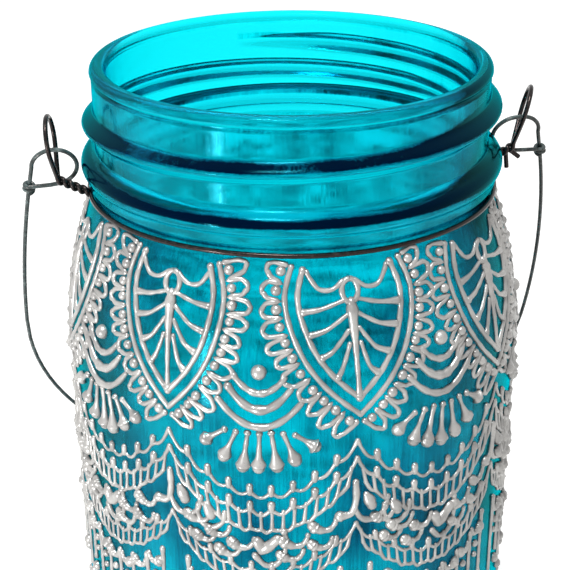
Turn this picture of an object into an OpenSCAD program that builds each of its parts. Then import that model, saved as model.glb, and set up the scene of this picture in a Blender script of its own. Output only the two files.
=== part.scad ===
// Mason jar lantern: a stained preserving jar with a wire collar, a swinging
// wire bail, raised line ornament and a tealight. Millimetres. The jar stands
// on Z = 0, its axis is Z, and the two wire ears lie along X.

/* [Jar] */
// Height from the table to the rim
jar_height = 171.5; // [150:0.5:200]
// Largest diameter, just below the shoulder
body_diameter = 96.2; // [90:0.1:104]
// Diameter lost between the shoulder and the heel
body_taper = 1.6; // [0:0.1:4]
// Radius of the long curve of the shoulder
shoulder_radius = 88; // [70:1:110]
// Distance from the rim down to the foot of the shoulder curve
shoulder_drop = 60; // [54:0.5:66]
// Glass thickness in the body
body_wall = 3.4; // [2.5:0.1:4.5]
// Glass thickness of the floor
floor_thickness = 5; // [4:0.1:8]
// Height of the push-up under the floor
push_up = 2.4; // [1:0.1:3]
// Radius of the heel between side and floor
heel_radius = 9; // [6:0.5:12]

/* [Neck finish] */
// Diameter of the mouth
mouth_diameter = 75.4; // [74:0.1:76.5]
// Outside diameter of the neck wall
neck_diameter = 81.2; // [80:0.1:82.4]
// Outside diameter of the rolled lip
lip_diameter = 81.8; // [81:0.1:82.6]
// Height of the rolled lip
lip_height = 3.6; // [2.5:0.1:4.5]
// Outside diameter of the screw thread
thread_diameter = 86; // [85:0.1:86.5]
// Rise of the thread for each turn
thread_pitch = 6.35; // [5:0.05:7]
// Distance from the rim to the thread at the middle of its run
thread_drop = 10.2; // [9.5:0.1:11]
// Length of the thread in turns
thread_turns = 1.25; // [0.75:0.05:1.5]
// Width of the thread at its root
thread_width = 3.6; // [3:0.1:4.2]
// Outside diameter of the bead under the thread
bead_diameter = 87.2; // [86:0.1:88]
// Distance from the rim to the middle of the bead
bead_drop = 20.3; // [19.5:0.1:21]
// Width of the bead
bead_width = 5; // [4:0.1:6]
// Distance from the rim to the collar groove
groove_drop = 26; // [25:0.1:27]
// Diameter of the glass in the collar groove
groove_diameter = 83.4; // [82.6:0.1:84]

/* [Collar wire] */
// Diameter of the wire round the neck
collar_wire = 1.0; // [0.8:0.05:1.2]
// Distance from the jar's axis to the foot of an ear
ear_reach = 48.5; // [47.5:0.1:50]
// Rise from the collar to the foot of an ear
ear_rise = 3.3; // [2:0.1:4.5]
// Height of an ear from its foot, along its middle line
ear_height = 13.4; // [12:0.1:14.5]
// Radius of the round top of an ear
ear_radius = 4.8; // [4.2:0.1:5.4]
// Outward lean of the left ear
ear_lean_left = 6; // [2:0.5:12]
// Outward lean of the right ear
ear_lean_right = 15; // [8:0.5:18]
// Turn of the left ear about the vertical
ear_yaw_left = 10; // [0:1:15]
// Turn of the right ear about the vertical
ear_yaw_right = 18; // [0:1:22]
// Turns of the twist between the collar and an ear
twist_turns = 2.25; // [1.5:0.25:3]
// Length of the two snipped tails on the right twist
tail_length = 3.6; // [2:0.1:5]

/* [Bail] */
// Diameter of the bail wire
bail_wire = 0.9; // [0.7:0.05:1.1]
// Distance from the foot of an ear up to the bail's turning line
pivot_rise = 6.1; // [5.5:0.1:7]
// Clearance between a bail eye and the wire of an ear
eye_clearance = 0.4; // [0.3:0.05:0.8]
// Depth of the bail from its turning line to the bottom of its bow
bail_depth = 116; // [108:0.5:124]
// Bulge of the bail's left side beyond the outer bend of its eye
bail_bulge_left = 3.7; // [3:0.1:6]
// Bulge of the bail's right side beyond the outer bend of its eye
bail_bulge_right = 9.55; // [6:0.05:12]
// Distance down the left side to its widest place
bail_waist_left = 52; // [45:0.5:60]
// Distance down the right side to its widest place
bail_waist_right = 67; // [60:0.5:72]
// Gap between the resting bail and the ornament
bail_gap = 0.35; // [0.25:0.05:1]

/* [Ornament] */
// Number of hanging petals round the jar
petal_count = 8; // [5:1:9]
// Angle of the first petal from the front
petal_start = 3.3; // [-20:0.1:20]
// Height that a line stands above the glass
relief_height = 0.6; // [0.3:0.05:1]
// Width of an outline
line_width = 1.15; // [0.8:0.05:1.6]
// Depth that the lines bed into the glass skin
relief_bed = 0.12; // [0.08:0.01:0.2]
// Length of a petal
petal_length = 29; // [25:0.5:32]
// Width of a petal between its outer lines
petal_width = 26; // [20:0.2:28]
// Distance between the two outlines of a petal
line_gap = 2.5; // [2:0.1:3]
// Distance between the tips of the two outlines
tip_gap = 3.5; // [3:0.1:4.5]

/* [Tealight] */
// Outside diameter of the cup
cup_diameter = 38; // [36:0.1:39.5]
// Height of the cup
cup_height = 15.6; // [14:0.1:18]
// Thickness of the cup's sheet
cup_wall = 0.4; // [0.2:0.05:0.6]
// Height of the wax
wax_height = 12.4; // [10:0.1:13]
// Diameter of the wick
wick_diameter = 1.6; // [1.2:0.1:2.4]
// Length of wick above the wax
wick_stand = 6; // [3:0.5:9]
// Diameter of the wick's foot plate
foot_diameter = 13; // [10:0.5:16]
// Thickness of the foot plate
foot_sheet = 0.4; // [0.3:0.05:0.6]
// Height of the collar that grips the wick, with its plate
foot_height = 4; // [3:0.1:6]
// Thickness of that collar
foot_collar = 0.6; // [0.3:0.05:1]

/* [Hidden] */
$fn = 48;

body_r = body_diameter / 2;
heel_r = body_r - body_taper / 2;
mouth_r = mouth_diameter / 2;
neck_r = neck_diameter / 2;
lip_r = lip_diameter / 2;
thread_r = thread_diameter / 2;
bead_r = bead_diameter / 2;
groove_r = groove_diameter / 2;
shoulder_z = jar_height - shoulder_drop;
groove_z = jar_height - groove_drop;
floor_z = floor_thickness + push_up * 0.5;
bearing_r = heel_r - heel_radius;

// Collar and ears
collar_r = groove_r + collar_wire / 2;
foot_z = groove_z + ear_rise;
pivot_z = foot_z + pivot_rise;
ear_centre = ear_height - ear_radius;
ear_half_angle = asin(ear_radius / ear_centre);

// Bail eye: it passes through the ear just above the turning line, and
// outside the ear beyond the farthest wire of the ear
eye_near = -0.5;
eye_far = ear_height - pivot_rise + collar_wire / 2 + bail_wire / 2
          + eye_clearance;
eye_radius = (eye_far - eye_near) / 2;
eye_centre = (eye_far + eye_near) / 2;
eye_inner_x = bead_r + bail_wire / 2 + eye_clearance;
bail_rest_z = pivot_z - bail_depth * 0.909;
bail_rest_y = glassRadius(bail_rest_z) + relief_height + bail_gap
              + bail_wire / 2;
bail_lean = asin(bail_rest_y / bail_depth);
coil_turns = 2;

// Radius of the glass outside at a height
function glassRadius(z) =
    z >= shoulder_z
    ? body_r - shoulder_radius
      + sqrt(pow(shoulder_radius, 2) - pow(z - shoulder_z, 2))
    : heel_r + (body_r - heel_r) * (z - heel_radius)
      / (shoulder_z - heel_radius);

function arcPoints(cx, cy, r, a0, a1, n) =
    [for (i = [0:n]) let (a = a0 + (a1 - a0) * i / n)
        [cx + r * cos(a), cy + r * sin(a)]];

// ---- Jar ----

shoulder_top_z = jar_height - groove_drop - 4.4;

module jarOutline() {
    wall_top = jar_height - lip_height;
    inside_shoulder_z = shoulder_z + 2;
    inside_r = body_r - body_wall;
    inside_heel = heel_radius - 3;
    polygon(concat(
        [[0, push_up], [bearing_r * 0.55, push_up * 0.94],
         [bearing_r * 0.82, push_up * 0.6], [bearing_r - 2.2, 0.25],
         [bearing_r - 1.4, 0], [bearing_r + 0.8, 0]],
        arcPoints(bearing_r, heel_radius, heel_radius, -84, 0, 8),
        [for (i = [0:10])
            let (z = shoulder_z + (shoulder_top_z - shoulder_z) * i / 10)
            [glassRadius(z), z]],
        [[groove_r + 0.5, groove_z - 2.2], [groove_r, groove_z - 0.9],
         [groove_r, groove_z + 0.9],
         [groove_r + 0.5, groove_z + 2.0]],
        beadPoints(),
        [[neck_r, jar_height - bead_drop + bead_width / 2 + 0.6],
         [neck_r, wall_top - 0.5], [neck_r - 0.3, wall_top],
         [lip_r - 0.2, wall_top + 0.5], [lip_r, wall_top + 1.1],
         [lip_r, jar_height - 1.3]],
        arcPoints(lip_r - 1.3, jar_height - 1.3, 1.3, 30, 90, 3),
        arcPoints(mouth_r + 1.0, jar_height - 1.0, 1.0, 90, 180, 3),
        [[mouth_r, groove_z - 1]],
        [for (i = [0:9])
            let (t = i / 9, z = groove_z - 6 + (inside_shoulder_z
                 - groove_z + 6) * t)
            [mouth_r + 0.8 + (inside_r - mouth_r - 0.8)
             * sin(90 * pow(t, 0.8)), z]],
        [[heel_r - body_wall, floor_z + inside_heel]],
        arcPoints(heel_r - body_wall - inside_heel, floor_z + inside_heel,
                  inside_heel, -10, -90, 6),
        [[0, floor_z]]
    ));
}

function beadPoints() =
    [for (i = [0:6]) let (a = -75 + 150 * i / 6)
        [neck_r + 0.4 + (bead_r - neck_r - 0.4) * cos(a),
         jar_height - bead_drop + bead_width / 2 * sin(a)]];

// One screw ridge that fades into the neck at both ends
module threadRidge() {
    n = round(48 * thread_turns);
    root = neck_r - 0.6;
    sweep = 360 * thread_turns;
    points = [for (i = [0:n])
        let (t = i / n, a = -101.5 - sweep * 0.56 + sweep * t,
             z = jar_height - thread_drop
                 + thread_pitch * (a + 101.5) / 360,
             fade = min(1, min(t, 1 - t) * 14 + 0.45),
             crest = root + (thread_r - root) * fade,
             w = thread_width / 2)
        for (p = [[root, w], [crest, w * 0.3], [crest, -w * 0.3], [root, -w]])
            [p[0] * cos(a), p[0] * sin(a), z + p[1] * (0.5 + 0.5 * fade)]];
    polyhedron(points, tubeFaces(n + 1, 4, 0, false), convexity = 8);
}

module jar() {
    color([0.05, 0.6, 0.68, 0.6]) {
        rotate_extrude($fn = 96) jarOutline();
        threadRidge();
    }
}

// ---- Swept lines ----

// Faces of a closed tube of n rings with k points each
function tubeFaces(n, k, first, loop) = concat(
    [for (i = [0:n - (loop ? 1 : 2)], j = [0:k - 1], h = [0, 1])
        let (a = first + i * k + j, b = first + i * k + (j + 1) % k,
             c = first + ((i + 1) % n) * k + j,
             d = first + ((i + 1) % n) * k + (j + 1) % k)
        h == 0 ? [a, c, b] : [b, c, d]],
    loop ? [] : [[for (j = [0:k - 1]) first + j],
                 [for (j = [k - 1:-1:0]) first + (n - 1) * k + j]]);

function unit(v) = v / norm(v);

function reversed(v) = [for (i = [len(v) - 1:-1:0]) v[i]];

// Sideways directions carried along a path without twisting
function carried(tangents, i, last) =
    i >= len(tangents) ? []
    : let (n = unit(last - (last * tangents[i]) * tangents[i]))
        concat([n], carried(tangents, i + 1, n));

// Round wire of eight sides along a path, starting square to `aside`
module wire(path, d, aside) {
    n = len(path);
    tangents = [for (i = [0:n - 1])
        unit(path[min(i + 1, n - 1)] - path[max(i - 1, 0)])];
    normals = carried(tangents, 0, aside);
    polyhedron([for (i = [0:n - 1], j = [0:7])
        path[i] + d / 2 * (normals[i] * cos(45 * j)
            + cross(tangents[i], normals[i]) * sin(45 * j))],
        tubeFaces(n, 8, 0, false), convexity = 10);
}

// A place on the glass: angle from the front, height, height above glass
function onGlass(a, z, h) =
    [(glassRadius(z) + h) * sin(a), -(glassRadius(z) + h) * cos(a), z];

// Rings of one raised line; each stop is [angle, height, width scale], and
// a closed loop gets a plain three-sided ridge
function lineRings(path, loop) =
    [for (i = [0:len(path) - 1])
        let (n = len(path), p = path[i],
             q0 = loop ? path[(i + n - 1) % n] : path[max(i - 1, 0)],
             q1 = loop ? path[(i + 1) % n] : path[min(i + 1, n - 1)],
             a = p[0], up = unit(onGlass(q1[0], q1[1], 0)
                 - onGlass(q0[0], q0[1], 0)),
             out = [sin(a), -cos(a), 0], side = unit(cross(up, out)),
             w = line_width / 2 * p[2], t = relief_height * (0.4
                 + 0.6 * min(p[2], 1.3)),
             c = onGlass(a, p[1], 0))
        for (s = loop ? [[-w, -relief_bed], [0, t], [w, -relief_bed]]
                 : [[-w, -relief_bed], [-w * 0.55, t], [w * 0.55, t],
                    [w, -relief_bed]])
            c + side * s[0] + out * s[1]];

function countBefore(paths, i) =
    i == 0 ? 0 : len(paths[i - 1]) + countBefore(paths, i - 1);

// Separate lines as one solid set
module lines(paths, loop = false) {
    polyhedron([for (p = paths) each lineRings(p, loop)],
        [for (i = [0:len(paths) - 1])
            each tubeFaces(len(paths[i]), loop ? 3 : 4,
                           (loop ? 3 : 4) * countBefore(paths, i), loop)],
        convexity = 10);
}

step_angle = 360 / petal_count;
petal_top_z = groove_z - 2.6;
petal_tip_z = petal_top_z - petal_length;

// Half width of a petal in degrees, given as a share k of its widest
function petalHalf(k, width) = width / 2 / body_r * 57.3 * k;

// Outline of a petal: share of its length, share of its half width
petal_shape = [[0, 0.88], [0.18, 1], [0.36, 0.95], [0.54, 0.82],
               [0.7, 0.615], [0.86, 0.34]];

// Width of each hand-drawn petal as a share of the named width
petal_swell = [1.02, 1, 0.97, 1.03, 0.96, 1, 1.02, 0.9];

// Sideways stray of each hand-drawn tip, in degrees
petal_stray = [1.6, 2, -1, 1.2, -1, 1.4, -1.2, 0.8];

function strayOf(i, t) = petal_stray[i % 8] * (t - 0.35);

function petalSide(c, i, width, top, tip, side) =
    [for (p = petal_shape)
        [c + strayOf(i, p[0])
             + side * petalHalf(p[1], width * petal_swell[i % 8]),
         top + (tip - top) * p[0], 1]];

function petalLine(c, i, width, top, tip) = concat(
    petalSide(c, i, width, top, tip, -1),
    [[c + strayOf(i, 1), tip, 1]],
    reversed(petalSide(c, i, width, top, tip, 1)));

// Ribs of the sprig inside a petal, on one side: they leave the stem
// downwards and flatten towards the outline
function sprigRibs(c, i, side) = [for (k = [0:3])
    let (t0 = 0.22 + k * 0.085, t1 = 0.34 + k * 0.145,
         from = 1 + 0.15 * k,
         reach = petalHalf(lookup(t1 * petal_length
                 / (petal_length - tip_gap), petal_shape),
                 (petal_width - line_gap * 2) * petal_swell[i % 8]) - 1)
    [for (s = [[0, 0], [0.25, 0.45], [1, 1]])
        let (t = t0 + (t1 - t0) * s[1])
        [c + strayOf(i, t) + side * (from + (reach - from) * s[0]),
         petal_top_z - petal_length * t, 0.6 + 0.2 * s[0]]]];

module petal_relief() {
    color([0.78, 0.76, 0.76])
    for (i = [0:petal_count - 1]) {
        c = petal_start + i * step_angle;
        lines(concat(
            [petalLine(c, i, petal_width, petal_top_z, petal_tip_z),
             petalLine(c, i, petal_width - line_gap * 2,
                       petal_top_z - 0.6, petal_tip_z + tip_gap),
             [for (s = [[0.1, 1.4], [0.3, 1.5], [0.55, 1],
                        [0.84, 0.8]])
                 [c + strayOf(i, s[0]),
                  petal_top_z - petal_length * s[0], s[1]]]],
            sprigRibs(c, i, -1), sprigRibs(c, i, 1)));
    }
}

// ---- Swags and drops ----

// Drop of the ornament below the petals, for a petal of any length
unit = petal_length / 29;
swag_z = petal_top_z - 20 * unit;

// A hanging curve between two petals
function swag(c, half, top, sag, scale) =
    [for (i = [0:6]) let (t = i / 3 - 1)
        [c + half * t, top - sag * unit * (1 - t * t), scale]];

// Drops that fan out below the swags
function dropLine(c, k, n) =
    let (t = (k - (n - 1) / 2) / ((n - 1) / 2),
         a0 = c + t * 8.2, z0 = swag_z - 11.9 * unit,
         a1 = c + t * 12.5, z1 = swag_z - (19.7 - 5.3 * t * t) * unit)
    [for (i = [0:3]) let (u = i / 3)
        [a0 + (a1 - a0) * u, z0 + (z1 - z0) * u,
         i == 0 ? 0.6 : i == 1 ? 0.7 : i == 2 ? 1.4 : 1.5]];

module swag_relief() {
    color([0.78, 0.76, 0.76])
    for (i = [0:petal_count - 1]) {
        c = petal_start + (i + 0.5) * step_angle;
        lines(concat(
            [swag(c, 5.8, swag_z - 0.2 * unit, 3.2, 1),
             swag(c, 6.7, swag_z - 2.4 * unit, 4.4, 1.2),
             swag(c, 9.3, swag_z - 5.2 * unit, 5.3, 1)],
            [for (k = [0:6]) dropLine(c, k, 7)]));
        rotate([0, 0, c - 90])
            translate([glassRadius(swag_z + unit), 0, swag_z + unit])
                sphere(r = line_width * 0.8, $fn = 24);
    }
}

// ---- Scalloped bands ----

scallops = 8;

// Closed line of small scallops that follows the big swags
function scallopRing(top, sag, bite) =
    [for (i = [0:petal_count - 1], k = [0:scallops - 1], h = [0:2])
        let (t = (k + h / 3) / scallops * 2 - 1,
             a = petal_start + (i + 0.5 + t / 2) * step_angle)
        [a, top - sag * unit * (1 - t * t)
            - (h == 0 ? 0 : bite * unit), h == 0 ? 1.15 : 0.75]];

module band_relief() {
    color([0.78, 0.76, 0.76]) {
        lines([scallopRing(petal_tip_z - 3.6 * unit, 11.4, 1)], true);
        lines([scallopRing(petal_tip_z - 7.4 * unit, 11.6, 1)], true);
        lines([scallopRing(petal_tip_z - 20.6 * unit, 10.4, 1)], true);
        lines([scallopRing(petal_tip_z - 63.5 * unit, 3.2, 1)], true);
    }
}

// ---- Collar wire ----

// One strand of a twist, from the collar out to the foot of an ear
function strand(run, rise, start) =
    let (length = norm([run, rise]), dir = [run, 0, rise] / length,
         lift = [-rise, 0, run] / length, n = round(twist_turns * 8))
    [for (i = [0:n])
        let (t = i / n, a = start + 360 * twist_turns * t)
        dir * (length * t - (t < 0.01 ? 0.1 : 0))
        + collar_wire * 0.56 * (lift * cos(a) + [0, 1, 0] * sin(a))];

// Teardrop of the ear in the YZ plane, leaning outward and turned
function earLoop(lean, yaw) =
    [for (p = concat(
            [for (t = [0.12, 0.5]) [ear_radius * cos(ear_half_angle) * t,
                (ear_centre - ear_radius * sin(ear_half_angle)) * t]],
            arcPoints(0, ear_centre, ear_radius, -ear_half_angle,
                      180 + ear_half_angle, 16),
            [for (t = [0.5, 0.12]) [-ear_radius * cos(ear_half_angle) * t,
                (ear_centre - ear_radius * sin(ear_half_angle)) * t]]))
        let (x = p[0] * sin(yaw), y = p[0] * cos(yaw))
        [x * cos(lean) + p[1] * sin(lean), y,
         p[1] * cos(lean) - x * sin(lean)]];

// Point just under the right twist, at a share of the way to the ear
function strandPoint(t) =
    [collar_r + (ear_reach - collar_r) * t, 0,
     groove_z + ear_rise * t - collar_wire * 0.38];

// One ear with its twist; side is 1 on the right and -1 on the left
module ear(side, lean, yaw) {
    run = ear_reach - collar_r;
    from = 90 - 360 * twist_turns;
    translate([side * collar_r, 0, groove_z])
        mirror([side > 0 ? 0 : 1, 0, 0])
            wire(concat(
                strand(run, ear_rise, from),
                [for (p = earLoop(lean, yaw))
                    p + [run, 0, ear_rise]],
                reversed(strand(run, ear_rise, from + 180))),
                collar_wire, [0, 0, 1]);
}

module collar_wire() {
    color([0.3, 0.29, 0.3]) {
        translate([0, 0, groove_z])
            rotate_extrude($fn = 96)
                translate([collar_r, 0])
                    circle(d = collar_wire, $fn = 24);
        ear(1, ear_lean_right, ear_yaw_right);
        ear(-1, ear_lean_left, -ear_yaw_left);
        translate(strandPoint(0.78))
            rotate([180, -6, 0])
                cylinder(d = collar_wire, h = tail_length, $fn = 24);
        translate(strandPoint(0.9))
            rotate([0, 128, 0])
                cylinder(d = collar_wire, h = tail_length * 0.8,
                         $fn = 24);
    }
}

// ---- Bail ----

// Half of the bail in its own plane, from the coil that closes the eye to
// the bow: X runs outward and Y down from the turning line
function bailHalf(bulge, waist, eye_x) =
    let (reach = eye_x + eye_radius + bulge, dx = bulge,
         dy = waist - eye_centre, side_r = (dx * dx + dy * dy) / 2 / dx,
         corner_r = bail_depth - waist, inner = eye_inner_x + eye_radius,
         coil_r = bail_wire * 1.08, lap = bail_wire * 1.1)
    concat(
        [for (i = [0:coil_turns * 10])
            let (t = 1 - i / coil_turns / 10, a = 90 - 360 * coil_turns * t,
                 y = eye_far + lap * coil_turns * t)
            [reach - side_r + sqrt(side_r * side_r - pow(waist - y, 2))
             + coil_r * cos(a), y, coil_r * sin(a)]],
        [[eye_x + 1, eye_far, coil_r * 0.8]],
        arcPoints3(inner, eye_centre, eye_radius, 90, 270, 10, coil_r * 0.6),
        arcPoints3(eye_x + 0.02, eye_centre, eye_radius, 270, 360, 6, 0),
        arcPoints3(reach - side_r, waist, side_r,
                   -asin(dy / side_r) * 0.86, 0, 7, 0),
        arcPoints3(reach - corner_r, waist, corner_r, 11, 90, 10, 0));

// Arc in the bail's plane that starts `z` aside and comes back into it
function arcPoints3(cx, cy, r, a0, a1, n, z) =
    [for (i = [0:n]) let (a = a0 + (a1 - a0) * i / n)
        [cx + r * cos(a), cy + r * sin(a), z * (1 - i / n)]];

// Place of the outer bend of an eye, beyond the ear's farthest wire
function eyeBend(lean) =
    max(eye_inner_x + eye_radius,
        ear_reach + ear_height * sin(lean) + (collar_wire + bail_wire) / 2
        + eye_clearance + 0.2
        - sqrt(pow(eye_radius, 2)
               - pow(ear_height - pivot_rise - eye_centre, 2)));

module bail() {
    right = bailHalf(bail_bulge_right, bail_waist_right,
                     eyeBend(ear_lean_right));
    left = [for (p = bailHalf(bail_bulge_left, bail_waist_left,
                              eyeBend(ear_lean_left)))
        [-p[0], p[1], p[2]]];
    color([0.36, 0.35, 0.36])
    translate([0, 0, pivot_z])
        rotate([bail_lean - 90, 0, 0])
            mirror([0, 0, 1])
                wire(concat(right, reversed(left)), bail_wire, [0, 1, 0]);
}

// ---- Tealight ----

module tealight_cup() {
    r = cup_diameter / 2;
    color([0.8, 0.8, 0.82])
    translate([0, 0, floor_z])
        rotate_extrude($fn = 64)
            polygon([[0, 0], [r - 1.2, 0], [r - 0.6, 0.5],
                     [r - 0.2, cup_height - 0.6], [r, cup_height - 0.3],
                     [r, cup_height], [r - cup_wall - 0.3, cup_height],
                     [r - cup_wall - 0.5, cup_height - 0.5],
                     [r - cup_wall - 0.6, 0.9],
                     [r - cup_wall - 1.2, cup_wall], [0, cup_wall]]);
}

module tealight_wax() {
    r = cup_diameter / 2 - cup_wall - 1.2;
    color([0.95, 0.93, 0.88])
    translate([0, 0, floor_z + cup_wall])
        difference() {
            rotate_extrude($fn = 64)
                polygon([[0, 0], [r, 0], [r + 0.5, 1.2],
                         [r + 0.5, wax_height - 0.4],
                         [r, wax_height], [0, wax_height - 0.6]]);
            cylinder(d = wick_diameter, h = 40, center = true);
            cylinder(d = foot_diameter, h = 2 * foot_sheet, center = true);
            cylinder(d = wick_diameter + 2 * foot_collar,
                     h = 2 * foot_height, center = true);
        }
}

module tealight_wick() {
    color([0.93, 0.9, 0.82])
    translate([0, 0, floor_z + cup_wall + foot_sheet])
        cylinder(d = wick_diameter, h = wax_height + wick_stand - foot_sheet,
                 $fn = 24);
}

// Plate with a short collar that holds the wick upright in the wax
module wick_foot() {
    color([0.7, 0.7, 0.72])
    translate([0, 0, floor_z + cup_wall]) {
        cylinder(d = foot_diameter, h = foot_sheet);
        difference() {
            cylinder(d = wick_diameter + 2 * foot_collar, h = foot_height);
            translate([0, 0, foot_sheet])
                cylinder(d = wick_diameter, h = foot_height);
        }
    }
}

jar();
petal_relief();
swag_relief();
band_relief();
collar_wire();
bail();
tealight_cup();
tealight_wax();
tealight_wick();
wick_foot();
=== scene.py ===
import bpy
import random
from math import asin, atan2, cos, degrees, dist, hypot, pi, radians, sin, sqrt
from mathutils import Matrix, Vector


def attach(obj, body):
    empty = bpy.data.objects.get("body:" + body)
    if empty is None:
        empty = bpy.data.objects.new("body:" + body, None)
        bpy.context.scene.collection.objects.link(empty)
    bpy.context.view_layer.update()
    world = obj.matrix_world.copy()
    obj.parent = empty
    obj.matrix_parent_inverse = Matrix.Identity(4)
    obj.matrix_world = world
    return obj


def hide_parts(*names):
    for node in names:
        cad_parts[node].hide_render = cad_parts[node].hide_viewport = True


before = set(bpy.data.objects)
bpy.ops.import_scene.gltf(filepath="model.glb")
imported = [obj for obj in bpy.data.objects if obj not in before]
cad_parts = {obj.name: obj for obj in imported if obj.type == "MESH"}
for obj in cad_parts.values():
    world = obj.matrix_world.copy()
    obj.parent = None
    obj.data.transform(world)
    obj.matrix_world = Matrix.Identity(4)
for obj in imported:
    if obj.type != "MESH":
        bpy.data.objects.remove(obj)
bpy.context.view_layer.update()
scene = bpy.context.scene
mm = 0.001


def linearColour(code):
    # sRGB hex to the linear colour that a socket takes
    parts = [int(code[i:i + 2], 16) / 255 for i in (1, 3, 5)]
    return [c / 12.92 if c <= 0.04045 else ((c + 0.055) / 1.055) ** 2.4 for c in parts] + [1.0]


def addNode(tree, kind, settings=None, inputs=None):
    node = tree.nodes.new(kind)
    for key, value in (settings or {}).items():
        setattr(node, key, value)
    for key, value in (inputs or {}).items():
        socket = node.inputs[key]
        if isinstance(value, bpy.types.NodeSocket):
            tree.links.new(value, socket)
        else:
            socket.default_value = value
    return node


def firstOutput(tree, kind, inputs=None, settings=None):
    return addNode(tree, kind, settings, inputs).outputs[0]


def mathNode(tree, operation, *values, clamp=False):
    settings = {"operation": operation, "use_clamp": clamp}
    return firstOutput(tree, "ShaderNodeMath", dict(enumerate(values)), settings)


def rampNode(tree, factor, stops):
    node = addNode(tree, "ShaderNodeValToRGB", {}, {"Fac": factor})
    while len(node.color_ramp.elements) < len(stops):
        node.color_ramp.elements.new(0.5)
    for element, (place, code) in zip(node.color_ramp.elements, stops):
        element.position = place
        element.color = linearColour(code)
    return node.outputs["Color"]


def rangeNode(tree, value, low, high, start=0.0, end=1.0):
    inputs = {"Value": value, "From Min": start, "From Max": end, "To Min": low, "To Max": high}
    return firstOutput(tree, "ShaderNodeMapRange", inputs)


def noiseNode(tree, across, tall, detail, roughness=0.5, distortion=0.0):
    # noise with a grain of so many millimetres across and upright
    coords = addNode(tree, "ShaderNodeTexCoord").outputs["Object"]
    scale = (1 / mm / across, 1 / mm / across, 1 / mm / tall)
    scaled = firstOutput(tree, "ShaderNodeMapping", {"Vector": coords, "Scale": scale})
    return firstOutput(tree, "ShaderNodeTexNoise", {
        "Vector": scaled, "Scale": 1.0, "Detail": detail, "Roughness": roughness, "Distortion": distortion})


def bumpNode(tree, height, strength, distance):
    return firstOutput(tree, "ShaderNodeBump", {"Height": height, "Strength": strength, "Distance": distance})


def newMaterial(name):
    material = bpy.data.materials.new(name)
    material.use_nodes = True
    tree = material.node_tree
    tree.nodes.clear()
    return material, tree, addNode(tree, "ShaderNodeOutputMaterial")


def setSurface(tree, output, inputs):
    shader = firstOutput(tree, "ShaderNodeBsdfPrincipled", inputs)
    tree.links.new(shader, output.inputs["Surface"])


def clamped(value):
    return min(1, max(0, value))


def steps(start, end, count, first=0):
    # evenly spaced values from start to end
    return [start + (end - start) * i / count for i in range(first, count + 1)]


def arcPoints(cx, cy, r, start, end, count):
    turns = [radians(a) for a in steps(start, end, count)]
    return [(cx + r * cos(a), cy + r * sin(a)) for a in turns]


def smoothRun(points, count):
    # a Catmull-Rom run through points
    out = []
    for i in range(len(points) - 1):
        around = (points[max(i - 1, 0)], points[i], points[i + 1], points[min(i + 2, len(points) - 1)])
        for k in range(count):
            t = k / count
            out.append(tuple(0.5 * (2 * b + (c - a) * t + (2 * a - 5 * b + 4 * c - d) * t * t
                                    + (3 * b - a - 3 * c + d) * t ** 3) for a, b, c, d in zip(*around)))
    return out + [points[-1]]


# the jar's sizes in millimetres, the same as the solid's but for a lower lip
jarSizes = {
    "height": 171.5, "bodyRadius": 48.1, "heelRadius": 47.3, "shoulderDrop": 60.0, "shoulderCurve": 88.0,
    "wall": 3.4, "floor": 6.2, "pushUp": 2.4, "heelCurve": 9.0, "innerHeelCurve": 6.0,
    "mouthRadius": 37.7, "mouthCurve": 1.2, "neckRadius": 40.6,
    "lipRadius": 40.9, "lipHeight": 2.4, "lipCurve": 1.4,
    "beadRadius": 43.6, "beadDrop": 20.3, "beadWidth": 5.0, "grooveRadius": 41.7, "grooveDrop": 26.0,
    "around": 240,
}
jarTop = jarSizes["height"]
shoulderZ = jarTop - jarSizes["shoulderDrop"]
grooveZ = jarTop - jarSizes["grooveDrop"]
beadZ = jarTop - jarSizes["beadDrop"]
wallTop = jarTop - jarSizes["lipHeight"]

# the screw ridge round the neck, with the share of it that comes before its middle angle
screw = {
    "radius": 43.0, "pitch": 6.35, "drop": 10.2, "turns": 1.25, "width": 3.6, "middle": -101.5,
    "before": 0.56, "fadePace": 14, "fadeFloor": 0.05, "skirt": 1.35, "crown": 0.75,
}


def glassRadius(z):
    # outside of the body and shoulder at a height
    s, curve = jarSizes, jarSizes["shoulderCurve"]
    if z >= shoulderZ:
        return s["bodyRadius"] - curve + sqrt(curve ** 2 - (z - shoulderZ) ** 2)
    share = (z - s["heelCurve"]) / (shoulderZ - s["heelCurve"])
    return s["heelRadius"] + (s["bodyRadius"] - s["heelRadius"]) * share


def lathe(name, profile, around, shift=None):
    # the profile runs from the bottom's centre up the outside and down the inside to its centre
    verts, faces, rings = [], [], []
    for r, z in profile:
        if r < 1e-6:
            rings.append([len(verts)])
            verts.append((0, 0, z * mm))
            continue
        ring = []
        for j in range(around):
            a = 2 * pi * j / around
            rr, zz = shift(r, z, a) if shift else (r, z)
            ring.append(len(verts))
            verts.append((rr * cos(a) * mm, rr * sin(a) * mm, zz * mm))
        rings.append(ring)
    for low, high in zip(rings, rings[1:]):
        for j in range(around):
            k = (j + 1) % around
            if len(low) == 1:
                faces.append((low[0], high[k], high[j]))
            elif len(high) == 1:
                faces.append((low[j], low[k], high[0]))
            else:
                faces.append((low[j], low[k], high[k], high[j]))
    mesh = bpy.data.meshes.new(name)
    mesh.from_pydata(verts, [], faces)
    mesh.validate()
    for polygon in mesh.polygons:
        polygon.use_smooth = True
    piece = bpy.data.objects.new(name, mesh)
    scene.collection.objects.link(piece)
    return piece


# where the camera stands and looks, in degrees and millimetres, with its picture in pixels
lens = {
    "azimuth": -11.5, "elevation": 24.46, "distance": 309.55, "targetDrop": 50.9, "roll": -0.33,
    "focal": 1421.8, "picture": 570, "centreX": 292.5, "sensor": 36,
}


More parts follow.
